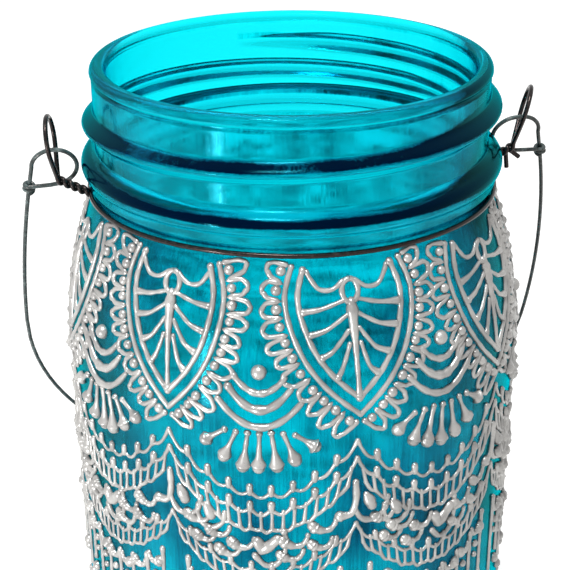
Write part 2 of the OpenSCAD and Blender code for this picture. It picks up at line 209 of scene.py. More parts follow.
def placeCamera():
    s = lens
    a, e = radians(s["azimuth"]), radians(s["elevation"])
    target = Vector((0, 0, (jarTop - s["targetDrop"]) * mm))
    back = Vector((sin(a) * cos(e), -cos(a) * cos(e), sin(e)))
    right = Vector((cos(a), sin(a), 0))
    turn = Matrix((right, back.cross(right), back)).transposed().to_4x4()
    camera = bpy.data.objects.new("camera", bpy.data.cameras.new("camera"))
    camera.data.sensor_width = s["sensor"]
    camera.data.lens = s["focal"] / s["picture"] * s["sensor"]
    camera.data.shift_x = (s["picture"] / 2 - s["centreX"]) / s["picture"]
    camera.data.clip_start = 0.01
    place = Matrix.Translation(target + back * s["distance"] * mm)
    camera.matrix_world = place @ turn @ Matrix.Rotation(radians(s["roll"]), 4, "Z")
    scene.collection.objects.link(camera)
    scene.camera = camera


placeCamera()
print("camera placed")


def threadCrests(a):
    # height and fade of each pass of the screw ridge at an angle round the neck
    sweep = 360 * screw["turns"]
    found = []
    for turn in (-2, -1, 0, 1):
        past = degrees(a) + 360 * turn - screw["middle"]
        along = (past + sweep * screw["before"]) / sweep
        if 0 <= along <= 1:
            fade = min(1, min(along, 1 - along) * screw["fadePace"] + screw["fadeFloor"])
            found.append((jarTop - screw["drop"] + screw["pitch"] * past / 360, fade))
    return found


def threadBulge(r, z, a):
    # the wall pushed out to the ridge, which falls off from its crest line
    if r < jarSizes["neckRadius"] - 0.5 or z > wallTop - 0.3 or z < beadZ:
        return r, z
    best = 0
    for crest, fade in threadCrests(a):
        away = abs(z - crest) / (screw["width"] / 2 * (0.5 + 0.5 * fade)) / screw["skirt"]
        if away < 1:
            best = max(best, fade * (0.5 + 0.5 * cos(pi * away)) ** screw["crown"])
    return r + (screw["radius"] - jarSizes["neckRadius"]) * best, z


def outsideProfile():
    s, curve, pushUp = jarSizes, jarSizes["heelCurve"], jarSizes["pushUp"]
    bearing = s["heelRadius"] - curve
    base = smoothRun([(0, pushUp), (bearing * 0.3, pushUp), (bearing * 0.6, pushUp * 0.95),
                      (bearing * 0.82, pushUp * 0.6), (bearing - 2.2, 0.25), (bearing - 1.2, 0),
                      (bearing + 0.8, 0)], 4)
    base = [(r, max(0, z)) for r, z in base]
    heel = arcPoints(bearing, curve, curve, -84, 0, 16)
    side = [(glassRadius(z), z) for z in steps(curve, shoulderZ, 24, 1)]
    shoulderTop = grooveZ - 4.4
    shoulder = [(glassRadius(z), z) for z in steps(shoulderZ, shoulderTop, 20, 1)[:-1]]
    waist = s["grooveRadius"]
    groove = smoothRun([(glassRadius(shoulderTop), shoulderTop), (waist + 0.55, grooveZ - 2.2),
                        (waist, grooveZ - 0.7), (waist + 0.02, grooveZ + 0.8),
                        (waist + 0.7, grooveZ + 2.1)], 5)
    beadFoot = s["neckRadius"] + 0.4
    turns = [radians(a) for a in range(-66, 76, 9)]
    bead = [(beadFoot + (s["beadRadius"] - beadFoot) * cos(a), beadZ + s["beadWidth"] / 2 * sin(a))
            for a in turns]
    neck = [(s["neckRadius"], z) for z in steps(beadZ + s["beadWidth"] / 2 + 0.7, wallTop - 0.5, 44)]
    lip = smoothRun([(s["neckRadius"] - 0.35, wallTop), (s["lipRadius"] - 0.2, wallTop + 0.45),
                     (s["lipRadius"], wallTop + 0.85), (s["lipRadius"], jarTop - s["lipCurve"])], 4)
    return base + heel + side + shoulder + groove + bead + neck + lip


def insideProfile():
    s = jarSizes
    mouthZ, wide = jarTop - s["mouthCurve"], s["bodyRadius"] - s["wall"]
    rim = arcPoints(s["lipRadius"] - s["lipCurve"], jarTop - s["lipCurve"], s["lipCurve"], 10, 90, 7)
    rim += arcPoints(s["mouthRadius"] + s["mouthCurve"], mouthZ, s["mouthCurve"], 90, 180, 7)
    mouth = [(s["mouthRadius"], z) for z in steps(mouthZ, mouthZ - s["grooveDrop"] + 0.2, 14, 1)]
    fallRadius, fallTop, fallFoot = s["mouthRadius"] + 0.8, grooveZ - 6, shoulderZ + 2
    fall = [(fallRadius + (wide - fallRadius) * sin(pi / 2 * t ** 0.8),
             fallTop + (fallFoot - fallTop) * t) for t in steps(0, 1, 16)]
    narrow, curve = s["heelRadius"] - s["wall"], s["innerHeelCurve"]
    inner = list(zip(steps(wide, narrow, 12, 1), steps(fallFoot, s["floor"] + curve, 12, 1)))
    corner = arcPoints(narrow - curve, s["floor"] + curve, curve, -8, -90, 10)
    return rim + mouth + fall + inner + corner + [(20, s["floor"]), (0, s["floor"])]


# the stain: colours from thick stain and painted shade to thin, grain and heights in millimetres, places
# round the jar in degrees
stain = {
    "pooledAndShaded": "#000A24", "deep": "#006682", "mid": "#00ABB8", "bright": "#00EAED", "thin": "#38FCFC",
    "streakWidth": 0.6, "streakLength": 16.0, "streakShare": 0.3, "patch": 13.0, "patchTall": 22.1,
    "contrast": 1.3, "offset": -0.13, "poolAndShadeDepth": 0.45, "roughness": 0.05, "roughSpread": 0.12, "ior": 1.5,
    "clear": 0.96, "opaque": 0.03, "hidesFrom": 0.26, "hidesAll": 0.04,
    "sheen": "#1E8C9A", "film": "#ACFAFC", "bulk": "#00B8DC", "bulkDensity": 85.0,
    # the left and front right are darkened by heavier stain and painted shade, the back is paled by painted
    # light, the lower body is darker
    "heavySide": 62.0, "heavyReach": 48.0, "heavyLow": 0.32, "heavyGrowth": 0.83,
    "lightSide": -90.0, "lightReach": 46.0, "lightLow": 0.3, "lightGrowth": 0.2,
    "back": 180.0, "backLightReach": 95.0, "upperReach": 14.0, "lowerDrop": 45.0, "lowerReach": 35.0,
    "neckBase": -0.32, "neckBackLight": -0.6, "bodyBase": 0.07, "bodyBackLight": -0.4, "lowerBody": 0.2, "lipSide": 0.8,
    "mouthDepth": 40.0, "insideMouth": -1.1,
    "bandBase": 0.85, "bandSide": 0.6, "bandBackLight": -0.5, "bandGrowth": 1.6, "bandStart": 0.5, "bandEnd": 0.9,
}


def stainedGlass():
    # blown soda glass under a brushed coat of glass paint: streaky colour that pools in the hollows, with
    # painted shade on the ridges and sides and painted light paling the back
    material, tree, output = newMaterial("stainedSodaGlass")
    s = stain
    streak = noiseNode(tree, s["streakWidth"], s["streakLength"], 4, 0.62, 0.5)
    patch = noiseNode(tree, s["patch"], s["patchTall"], 3, 0.55)
    # this attribute carries thick stain, painted shade on the ridges and sides, and painted light at the back
    poolAndShade = addNode(tree, "ShaderNodeAttribute", {"attribute_name": "stainAndShade"}).outputs["Fac"]
    mixed = mathNode(tree, "MULTIPLY", patch, 1 - s["streakShare"])
    mixed = mathNode(tree, "MULTIPLY_ADD", streak, s["streakShare"], mixed)
    spread = mathNode(tree, "MULTIPLY_ADD", mixed, s["contrast"], s["offset"])
    thin = mathNode(tree, "MULTIPLY_ADD", poolAndShade, -s["poolAndShadeDepth"], spread)
    colour = rampNode(tree, thin, [(0.1, s["pooledAndShaded"]), (0.24, s["deep"]), (0.38, s["mid"]),
                                   (0.5, s["bright"]), (0.72, s["thin"])])
    # a thick coat hides the light, and the tinted coat layer takes more of it where the glass turns away
    setSurface(tree, output, {
        "Base Color": colour, "IOR": s["ior"],
        "Roughness": rangeNode(tree, streak, s["roughness"], s["roughness"] + s["roughSpread"], 0.35, 0.7),
        "Transmission Weight": rangeNode(tree, thin, s["opaque"], s["clear"], s["hidesAll"], s["hidesFrom"]),
        "Specular Tint": linearColour(s["sheen"]), "Specular IOR Level": 0.15,
        "Coat Weight": 1.0, "Coat IOR": 1.0, "Coat Roughness": 0.03, "Coat Tint": linearColour(s["film"]),
        "Normal": bumpNode(tree, mixed, 0.15, 0.0004)})
    inputs = {"Color": linearColour(s["bulk"]), "Density": s["bulkDensity"]}
    bulk = firstOutput(tree, "ShaderNodeVolumeAbsorption", inputs)
    tree.links.new(bulk, output.inputs["Volume"])
    return material


def nearness(angle, middle, reach):
    # 1 at the middle of a side, 0 at its reach
    away = abs((angle - middle + 180) % 360 - 180) / reach
    return 0.5 + 0.5 * cos(pi * min(1, away))


def stainAndShadeAt(x, y, z):
    # how dark the glass is painted: thick film with painted shade gathers on the upper slopes of the ridges,
    # in the groove and under the lip; heavier stain and painted shade darken the left and front right,
    # painted light pales the back, the lower body is darker and the inside of the mouth is thin
    s = stain
    row = degrees(atan2(x, -y))
    # painted light: the side away from the camera takes less stain, so it looks lit from behind
    back = nearness(row, s["back"], s["backLightReach"])
    if hypot(x, y) < jarSizes["neckRadius"] - 1 and z > jarTop - s["mouthDepth"]:
        return s["insideMouth"]
    upper = clamped((z - grooveZ + s["upperReach"]) / s["upperReach"])
    # the body darkens towards the bottom
    lower = clamped((jarTop - z - s["lowerDrop"]) / s["lowerReach"])
    # heavier stain and painted shade towards the front right and the left, growing upwards
    heavy = nearness(row, s["heavySide"], s["heavyReach"]) * (s["heavyLow"] + s["heavyGrowth"] * upper)
    light = nearness(row, s["lightSide"], s["lightReach"]) * (s["lightLow"] + s["lightGrowth"] * upper)
    side = max(heavy, light)
    # painted light: a thinner film at the back, more on the neck than on the body
    base, backLight = (s["neckBase"], s["neckBackLight"]) if z > grooveZ else (s["bodyBase"], s["bodyBackLight"])
    amount = side + base + backLight * back + s["lowerBody"] * lower
    # bands of thick stain and painted shade under the bead, in the groove, under the lip and above each pass
    # of the screw ridge
    bands = [(beadZ - 0.2, beadZ + 2.2, 1.6), (grooveZ + 0.6, grooveZ + 2.2, 0.7),
             (wallTop - 0.7, wallTop + 0.4, 1.1)]
    if z > beadZ + 2:
        crests = threadCrests(atan2(y, x) % (2 * pi))
        bands += [(crest + 0.1, crest + 2.6, fade * 1.25) for crest, fade in crests]
    for low, high, weight in bands:
        # a band grows upwards on the darkened sides, and is paled at the back by painted light
        high += s["bandGrowth"] * side
        inside = clamped((z - low) / s["bandStart"]) * clamped((high - z) / s["bandEnd"])
        full = weight * (s["bandBase"] + s["bandSide"] * side + s["bandBackLight"] * back)
        amount += max(0, full - amount) * inside
    # painted shade darkens the lip's outside on the left and front right
    return amount + s["lipSide"] * side if z > wallTop else amount


jarGlass = lathe("jarGlass", outsideProfile() + insideProfile(), jarSizes["around"], threadBulge)
# each point gets its thick stain, painted shade and painted light
stainAndShade = jarGlass.data.attributes.new("stainAndShade", "FLOAT", "POINT")
stainAndShade.data.foreach_set("value", [stainAndShadeAt(*(vertex.co / mm)) for vertex in jarGlass.data.vertices])
jarGlass.data.materials.append(stainedGlass())
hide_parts("jar")
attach(jarGlass, "jar")
print("jar built")


# the paste in millimetres, drops measured from the rim; degreeLength is one degree's way round the jar, and
# the lists say how a hand strays from the rule
paste = {
    "panels": 8, "firstAngle": 3.3, "roundRadius": 47.6, "degreeLength": 0.83, "seed": 7,
    "lineWidth": 1.1, "height": 0.6, "bed": 0.12, "wobble": 0.09, "grain": 520.0, "uneven": 0.08,
    "dark": "#9A9896", "pale": "#B8B6B3", "metallic": 0.45,
    "petalTop": 28.2, "petalLength": 29.0, "outerHalf": 13.0, "innerHalf": 10.5, "tipGap": 3.5,
    "lean": [1.4, 2.3, -0.9, 1.0, -0.8, 1.2, -1.0, 0.9],  # of each petal's tip, sideways
    "swell": [1.02, 1, 0.97, 1.03, 0.96, 1, 1.02, 0.9],  # of each petal's width
    "shift": [-0.4, -1.3, 0.5, -0.3, 0.4, -0.6, 0.5, -0.4],  # of each petal round the jar
    "lift": [-2.4, 0.6, -0.8, 0.5, 0.9, -0.5, 0.3, 0.0],  # of the swags after each petal, downwards
    "lacePitch": 3.05, "laceIn": 1.25, "laceOut": 5.2, "bites": 9,
}
stepAngle = 360 / paste["panels"]
halfPanel = radians(stepAngle / 2) * paste["roundRadius"]
chance = random.Random(paste["seed"])

# a petal's half width, as a share, along its length from the top to the tip
petalShape = [(0, 0.88), (0.09, 0.955), (0.18, 1.0), (0.27, 0.99), (0.36, 0.95), (0.48, 0.865), (0.6, 0.75),
              (0.7, 0.615), (0.8, 0.45), (0.9, 0.24), (1, 0)]


def onGlass(centre, u, drop):
    # u millimetres to the side of a panel's centre line, drop millimetres under the rim
    z = jarTop - drop
    r = glassRadius(z)
    a = radians(centre) + u / paste["roundRadius"]
    return Vector((r * sin(a) * mm, -r * cos(a) * mm, z * mm))


def hand(size):
    # a small random stray to either side
    return (chance.random() - 0.5) * 2 * size


def resampled(points, step=0.5):
    out = [points[0]]
    for a, b in zip(points, points[1:]):
        count = max(1, round(dist(a[:2], b[:2]) / step))
        for i in range(1, count + 1):
            out.append(tuple(p + (q - p) * i / count for p, q in zip(a, b)))
    return out


def roundedEnds(run):
    if dist(run[0][:2], run[-1][:2]) < 0.05:
        return run
    caps = []
    for tip, near in ((run[0], run[1]), (run[-1], run[-2])):
        length = dist(tip[:2], near[:2]) or 1
        du, dv = (tip[0] - near[0]) / length, (tip[1] - near[1]) / length
        reach = paste["lineWidth"] / 2 * tip[2]
        caps.append([(tip[0] + du * reach * k, tip[1] + dv * reach * k, tip[2] * w)
                     for k, w in ((0.45, 0.9), (0.8, 0.6), (0.98, 0.15))])
    return caps[0][::-1] + run + caps[1]


def stroke(points, width=1.0, ends=(1.25, 0.9), smooth=6, step=0.5):
    # a squeezed line: a blob where the nozzle starts, a thinner lift-off, and both ends rounded
    run = resampled(smoothRun([(*p[:2], p[2] if len(p) > 2 else 1.0) for p in points], smooth), step)
    count = len(run) - 1
    phase, pace = chance.random() * 6.28, 0.7 + 0.5 * chance.random()
    out = []
    for i, (u, v, w) in enumerate(run):
        start, end = min(i, 4) / 4, min(count - i, 4) / 4
        swell = 1 + (ends[0] - 1) * (1 - start) ** 2 + (ends[1] - 1) * (1 - end) ** 2
        wave = 1 + paste["uneven"] * sin(phase + i * pace * step / 0.5)
        out.append((u, v, w * width * swell * wave))
    return roundedEnds(out)


def petalSide(half, top, tip, side, lean):
    return [(side * half * share + lean * (t - 0.35), top + (tip - top) * t) for t, share in petalShape]


def petalEdge(t):
    # the petal's half width at any share of its length
    for (t0, s0), (t1, s1) in zip(petalShape, petalShape[1:]):
        if t0 <= t <= t1:
            return s0 + (s1 - s0) * (t - t0) / (t1 - t0)


def laceAlong(side, lean, swell, top, tip):
    # one chain of U loops that stand off the outer line, with a bead of paste in each
    spacing = 0.25
    edge = resampled(smoothRun(petalSide(paste["outerHalf"] * swell, top, tip + 0.6, side, lean), 6), spacing)
    count = int(len(edge) * spacing / paste["lacePitch"])
    chain, dots = [], []
    for k in range(count):
        low = len(edge) * k / count
        deep = paste["laceOut"] * (1.0 + 0.1 * hand(1)) * (1.12 if k >= count - 3 else 1)
        for h in range(9):
            i = min(len(edge) - 1, int(low + len(edge) / count * h / 8.0))
            p, q = edge[max(i - 4, 0)], edge[min(i + 4, len(edge) - 1)]
            outward = Vector((q[1] - p[1], p[0] - q[0])) / (dist(p[:2], q[:2]) or 1)
            if outward.x * side < 0:
                outward = -outward
            rise = sin(pi * h / 8) ** 0.5
            foot = Vector(edge[i][:2])
            spot = foot + outward * (paste["laceIn"] + (deep - paste["laceIn"]) * rise)
            if h < 8 or k == count - 1:
                chain.append((spot.x, spot.y, 0.92 if 0 < h < 8 else 1.05))
            if h == 4:
                bead = foot + outward * 1.75
                dots.append((bead.x + hand(0.1), bead.y + hand(0.15), 0.92 + 0.12 * chance.random()))
    return stroke(chain, 1.0, (1.1, 1.1), 3, 0.45), dots


def sprigStrokes(axis, top, tip, inner):
    # a bud ring, a stem that thins out, shoulders and drooping ribs; axis is the petal's leaning middle line
    ring = [radians(a) for a in range(0, 361, 30)]
    bud = [(axis(top + 5) + 1.7 * sin(a), top + 4.6 - 2.1 * cos(a)) for a in ring]
    lines = [stroke(bud, 1.0, (1, 1), 3)]
    lines.append(stroke([(axis(top + 7), top + 6.6, 1.5), (axis(top + 9), top + 8.4, 2.1),
                         (axis(top + 12), top + 12, 1.5), (axis(top + 17), top + 17, 1.0),
                         (axis(tip - 6), tip - 6.0, 0.95), (axis(tip - 4.4), tip - 4.4, 1.5)],
                        1.0, (1.1, 1.1)))
    for side in (-1, 1):
        lines.append(stroke([(axis(top + 3) + side * 1.3, top + 2.8), (axis(top + 4) + side * 3.6, top + 4.2),
                             (axis(top + 3) + side * 6.2, top + 4.0), (axis(top + 2) + side * 8.0, top + 2.0),
                             (axis(top + 1) + side * 8.6, top + 0.9)], 0.85, (1.0, 1.1)))
        for k in range(4):
            # each rib leaves the stem downwards and flattens towards the outline
            start = top + 6.2 + k * 2.75 + hand(0.2)
            end = top + 8.0 + k * 4.2 + hand(0.4)
            base, drop = 1.1, end - start
            reach = inner * petalEdge((end - top) / (tip - paste["tipGap"] - top)) - 0.7
            first, second = base + (reach - base) * 0.26, base + (reach - base) * 0.6
            lines.append(stroke([(axis(start) + side * base, start, 0.9),
                                 (axis(start) + side * first, start + drop * 0.36, 0.85),
                                 (axis(start) + side * second, start + drop * 0.78, 0.95),
                                 (axis(end) + side * reach, end, 1.2)], 0.95, (1.0, 1.25)))
    return lines


def petalStrokes(lean, swell):
    outer, inner = paste["outerHalf"] * swell, paste["innerHalf"] * swell
    top = paste["petalTop"] + hand(0.3)
    tip = top + paste["petalLength"] + hand(0.4)
    lines, dots = [], []
    for side in (-1, 1):
        lines.append(stroke(petalSide(outer, top, tip, side, lean), 1.0, (1.2, 1.0)))
        innerSide = petalSide(inner, top + 0.6, tip - paste["tipGap"], side, lean * 0.85)
        lines.append(stroke(innerSide, 1.05, (1.3, 1.3)))
        lace, beads = laceAlong(side, lean, swell, top, tip)
        lines.append(lace)
        dots += beads
    lines += sprigStrokes(lambda v: lean * ((v - top) / (tip - top) - 0.35), top, tip, inner)
    return lines, dots


# half width, drop below the petals' top, sag, width and how much thicker the middle is, of each small swag
swags = ((4.9, 20.3, 3.2, 1.05, 1.3), (6.0, 22.5, 4.4, 1.15, 1.6), (8.0, 25.3, 5.3, 1.1, 1.35))
# a fan of strands that hangs under them, and the widths of a strand along its way to the drop at its end
fan = {"strands": 7, "topHalf": 6.8, "endHalf": 10.4, "start": 31.9, "end": 39.7, "sag": 5.3}
strandWidths = ((0, 1.15), (0.12, 0.9), (0.5, 0.95), (0.76, 1.6), (0.93, 2.75), (1, 2.6))


def gapStrokes(lift):
    # what hangs between two petals, u = 0 on the line midway
    top = paste["petalTop"] + lift
    lines, dots = [], [(hand(0.3), top + 19.3, 1.5)]
    for half, level, sag, width, middle in swags:
        lines.append(stroke([(half * t, top + level + sag * (1 - t * t), 1 + (middle - 1) * (1 - abs(t)))
                             for t in (-1, -0.7, -0.35, 0, 0.35, 0.7, 1)], width))
    top = paste["petalTop"] + lift * 0.4
    for t in steps(-1, 1, fan["strands"] - 1):
        start = (fan["topHalf"] * t, top + fan["start"] + hand(0.25))
        end = (fan["endHalf"] * t + hand(0.25), top + fan["end"] - fan["sag"] * t * t + hand(0.3))
        lines.append(stroke([(start[0] + (end[0] - start[0]) * s, start[1] + (end[1] - start[1]) * s, w)
                             for s, w in strandWidths], 1, (1.15, 0.95), 4, 0.4))
    return lines, dots


def swagLevel(level, sag, t):
    return level + sag * (1 - t * t)


def scallopBand(level, sag, bite, width, nubs):
    # small scallops strung along one big swag per panel, with a nub at each meeting
    bites = paste["bites"]
    path = []
    for k in range(bites):
        deep = bite * (1 + hand(0.15))
        for h in range(6):
            t = (k + h / 6) / bites * 2 - 1
            v = swagLevel(level, sag, t) + deep * sin(pi * h / 6)
            path.append((halfPanel * t, v, 1.25 if h == 0 else 0.9))
    path.append((halfPanel, level, 1.25))
    lines = [stroke(path, width, (1, 1), 1, 0.6)]
    for k in range(1, bites if nubs else 1):
        t = k / bites * 2 - 1
        u, v = halfPanel * t, swagLevel(level, sag, t)
        lines.append(stroke([(u, v + 0.3), (u * 1.01, v - nubs)], width * 1.5, (1, 1.15), 2))
    return lines


def ladder(level, sag, rungs, length, width):
    # rungs that join at their feet in small loops
    feet, lines = [], []
    for k in range(rungs):
        t = (k + 0.5) / rungs * 2 - 1
        u, v = halfPanel * t, swagLevel(level, sag, t)
        foot = (u - 0.7 * t + hand(0.12), v + length + hand(0.25))
        feet.append(foot)
        middle = ((u + foot[0]) / 2, (v + foot[1]) / 2)
        lines.append(stroke([(u, v, 0.95), (*middle, 0.85), (*foot, 1.1)], width, (1, 1), 2))
    for k, (a, b) in enumerate(zip(feet, feet[1:])):
        middle = ((a[0] + b[0]) / 2, (a[1] + b[1]) / 2 + (0.3 if k % 2 else 0.75))
        lines.append(stroke([(*a, 1.1), (*middle, 0.95), (*b, 1.1)], width, (1, 1), 3))
    return lines


def motif(x, z, flip, size, points):
    # a small shape placed on the glass, mirrored where flip is -1
    return [(x + flip * u * size, z + v * size, w) for u, v, w in points]


def comma(x, z, flip, size):
    # a fat head that tails off sideways and curls up
    shape = ((-2.3, -0.5, 2.1), (-1.7, 0.1, 2.2), (-0.4, 0.75, 1.4), (1.2, 0.7, 1.1), (2.3, -0.5, 1.0),
             (2.6, -1.6, 0.95))
    return stroke(motif(x, z, flip, size, shape), 1.0, (1.0, 1.1))


def hook(x, z, size):
    # an open cup with a drop of paste in it
    cup = ((-2.5, -2.6, 1.1), (-2.7, -0.6, 1.0), (-1.5, 1.5, 1.2), (0.6, 1.8, 1.2), (2.3, 0.4, 1.0),
           (2.7, -1.7, 1.1))
    drop = ((-0.9, -2.9, 1.3), (-0.3, -1.6, 2.3), (0, -0.8, 1.9))
    return [stroke(motif(x, z, 1, size, cup), 1.0, (1.1, 1.1)),
            stroke(motif(x, z, 1, size, drop), 1, (1, 1), 4)]


def commaRows(top):
    # two staggered rows of commas that follow the swag, with a curled bud under the middle
    lines = []
    for places, level, sag, size in (((-0.7, -0.47, -0.22, 0.36, 0.66), 47.6, 10.2, 0.95),
                                     ((-0.6, -0.34, 0.3, 0.62), 51.4, 9.4, 0.9)):
        for t in places:
            u = halfPanel * t + hand(0.3)
            v = swagLevel(top + level, sag, t) + hand(0.3)
            lines.append(comma(u, v, 1, size + hand(0.1)))
    for points, width, ends, smooth in (
            (((-0.8, -1.0, 2.0), (0.2, 0.7, 2.3)), 1, (1, 1), 3),
            (((3.2, -1.8, 1.9), (1.6, -0.2, 2.2), (0.2, 0.8, 2.0)), 1, (1, 1), 3),
            (((-1.2, 2.4, 1.5), (0.6, 4.4, 1.2), (2.7, 4.3, 1.2), (4.4, 2.0, 1.1), (4.8, -1.6, 1.0),
              (4.5, -3.6, 1.3)), 0.95, (1, 1.2), 6)):
        lines.append(stroke(motif(0, top + 57.6, 1, 1, points), width, ends, smooth))
    return lines


def pendantRow(top):
    # upright lines with beads under them, and commas and beads between
    lines, dots = [], []
    for k in range(8):
        t = (k - 3.5) / 4.2
        u, start = halfPanel * t, swagLevel(top + 60.6, 9.4, t)
        end = top + 84 - 4.5 * (k % 2)
        middle = (u + hand(0.2), (start + end) / 2, 0.95)
        lines.append(stroke([(u, start, 1.3), middle, (u, end, 1.1)], 0.85, (1.1, 1.2), 3))
        dots.append((u, end + 2.6, 1.15))
    for k in range(7):
        t = (k - 3) / 4.2
        u, start = halfPanel * t, swagLevel(top + 62.4, 9.4, t)
        lines.append(comma(u, start, 1 if k % 2 else -1, 0.62))
        dots += [(u, start + 3.4, 0.85), (u, start + 6.2, 0.7)]
    return lines, dots


def bandStrokes():
    # the rows that run round the jar under the petals, from the top down
    top = paste["petalTop"]
    lines = scallopBand(top + 34.3, 10.9, 1.3, 0.75, 1.1)
    lines += scallopBand(top + 38.2, 10.9, 1.3, 0.8, 1.1)
    lines += ladder(top + 38.9, 11.1, 17, 3.9, 0.8)
    lines += commaRows(top)
    # where two swags meet: a crook on one side, cups on the other
    crook = ((-0.2, 43.6, 1.2), (-0.1, 47.6, 1.3), (-1.0, 50.6, 1.2), (-3.2, 51.0, 1.8))
    lines.append(stroke([(halfPanel + u, top + v, w) for u, v, w in crook], 1.05, (1.1, 1.1)))
    lines += hook(-halfPanel + 3.1, top + 50.4, 1.25)
    lines += hook(-halfPanel + 8.6, top + 52.6, 1.05)
    lines += scallopBand(top + 53.1, 10.0, 1.3, 0.75, 1.0)
    lines += ladder(top + 53.8, 10.2, 19, 3.3, 0.72)
    pendants, dots = pendantRow(top)
    lines += pendants
    # a plain band near the foot
    lines += scallopBand(top + 92.0, 3.2, 1.0, 0.8, 1.0)
    lines += scallopBand(top + 95.6, 3.2, 1.0, 0.8, 0)
    return lines, dots


def newTree(name, sockets):
    # a geometry tree that takes the named values beside its geometry and material
    tree = bpy.data.node_groups.new(name, "GeometryNodeTree")
    for title, kind, value in (("Geometry", "Geometry", None), *sockets, ("Material", "Material", None)):
        socket = tree.interface.new_socket(title, in_out="INPUT", socket_type="NodeSocket" + kind)
        if value is not None:
            socket.default_value = value
    tree.interface.new_socket("Geometry", in_out="OUTPUT", socket_type="NodeSocketGeometry")
    return tree, addNode(tree, "NodeGroupInput").outputs


def finishTree(tree, geometry, material):
    # smooth, real and in its material
    smooth = firstOutput(tree, "GeometryNodeSetShadeSmooth", {"Geometry": geometry})
    real = firstOutput(tree, "GeometryNodeRealizeInstances", {"Geometry": smooth})
    finished = firstOutput(tree, "GeometryNodeSetMaterial", {"Geometry": real, "Material": material})
    addNode(tree, "NodeGroupOutput", {}, {0: finished})


def tubeAlong(tree, path, profile):
    # the profile carried along the path, as wide as the path's own radius
    radius = firstOutput(tree, "GeometryNodeInputRadius")
    inputs = {"Curve": path, "Profile Curve": profile, "Scale": radius, "Fill Caps": True}
    return firstOutput(tree, "GeometryNodeCurveToMesh", inputs)


def vectorMath(tree, operation, inputs):
    return firstOutput(tree, "ShaderNodeVectorMath", inputs, {"operation": operation})


def pasteTree():
    # turns flat strokes into half-round raised lines that hug the glass
    p = paste
    tree, given = newTree("squeezedPaste", (
        ("Half width", "Float", p["lineWidth"] / 2 * mm), ("Height", "Float", p["height"] * mm),
        ("Wobble", "Float", p["wobble"] * mm), ("Bed", "Float", p["bed"] * mm)))
    spot = firstOutput(tree, "GeometryNodeInputPosition")
    outward = vectorMath(tree, "NORMALIZE", {0: vectorMath(tree, "MULTIPLY", {0: spot, 1: (1, 1, 0)})})
    inputs = {0: given["Geometry"], "Normal": outward}
    path = firstOutput(tree, "GeometryNodeSetCurveNormal", inputs, {"mode": "FREE"})
    inputs = {"Resolution": 10, "Radius": given["Half width"]}
    ring = firstOutput(tree, "GeometryNodeCurvePrimitiveCircle", inputs)
    # the profile's X runs along the given normal
    share = mathNode(tree, "DIVIDE", given["Height"], given["Half width"])
    squash = firstOutput(tree, "ShaderNodeCombineXYZ", {"X": share, "Y": 1.0, "Z": 1.0})
    shaped = firstOutput(tree, "GeometryNodeTransform", {"Geometry": ring, "Scale": squash})
    # flat underside, bedded in the glass skin
    flat = addNode(tree, "ShaderNodeSeparateXYZ", {}, {0: spot}).outputs
    raised = mathNode(tree, "MAXIMUM", flat["X"], mathNode(tree, "MULTIPLY", given["Bed"], -1.0))
    cut = firstOutput(tree, "ShaderNodeCombineXYZ", {"X": raised, "Y": flat["Y"], "Z": flat["Z"]})
    shaped = firstOutput(tree, "GeometryNodeSetPosition", {"Geometry": shaped, "Position": cut})
    tube = tubeAlong(tree, path, shaped)
    # an uneven skin
    grain = firstOutput(tree, "ShaderNodeTexNoise", {"Scale": p["grain"], "Detail": 1.0})
    push = mathNode(tree, "MULTIPLY", mathNode(tree, "SUBTRACT", grain, 0.5), given["Wobble"])
    normal = firstOutput(tree, "GeometryNodeInputNormal")
    away = vectorMath(tree, "SCALE", {0: normal, "Scale": push})
    moved = firstOutput(tree, "GeometryNodeSetPosition", {"Geometry": tube, "Offset": away})
    finishTree(tree, moved, given["Material"])
    return tree


def beadTree():
    # beads of paste set on points, each as wide as its own size
    tree, given = newTree("pasteBeads", (("Bead radius", "Float", mm),))
    size = firstOutput(tree, "GeometryNodeInputNamedAttribute", {"Name": "size"}, {"data_type": "FLOAT"})
    inputs = {"Subdivisions": 3, "Radius": given["Bead radius"]}
    ball = firstOutput(tree, "GeometryNodeMeshIcoSphere", inputs)
    inputs = {"Points": given["Geometry"], "Instance": ball, "Scale": size}
    finishTree(tree, firstOutput(tree, "GeometryNodeInstanceOnPoints", inputs), given["Material"])
    return tree


def wireTree():
    # round wire along a path, with cut ends
    tree, given = newTree("roundWire", (("Wire radius", "Float", 0.5 * mm), ("Sides", "Int", 14)))
    inputs = {"Resolution": given["Sides"], "Radius": given["Wire radius"]}
    ring = firstOutput(tree, "GeometryNodeCurvePrimitiveCircle", inputs)
    finishTree(tree, tubeAlong(tree, given["Geometry"], ring), given["Material"])
    return tree


def runTree(source, tree, values, name):
    # evaluates a node tree on an object and keeps the result as a plain mesh
    modifier = source.modifiers.new("shape", "NODES")
    modifier.node_group = tree
    for item in tree.interface.items_tree:
        if item.item_type == "SOCKET" and item.in_out == "INPUT" and item.name in values:
            modifier[item.identifier] = values[item.name]
    bpy.context.view_layer.update()
    ready = source.evaluated_get(bpy.context.evaluated_depsgraph_get())
    piece = bpy.data.objects.new(name, bpy.data.meshes.new_from_object(ready))
    scene.collection.objects.link(piece)
    bpy.data.objects.remove(source, do_unlink=True)
    return piece


def curveFrom(name, runs):
    data = bpy.data.curves.new(name, "CURVE")
    data.dimensions = "3D"
    for run in runs:
        spline = data.splines.new("POLY")
        spline.points.add(len(run) - 1)
        for point, (place, width) in zip(spline.points, run):
            point.co = (*place, 1)
            point.radius = width
    source = bpy.data.objects.new(name, data)
    scene.collection.objects.link(source)
    return source


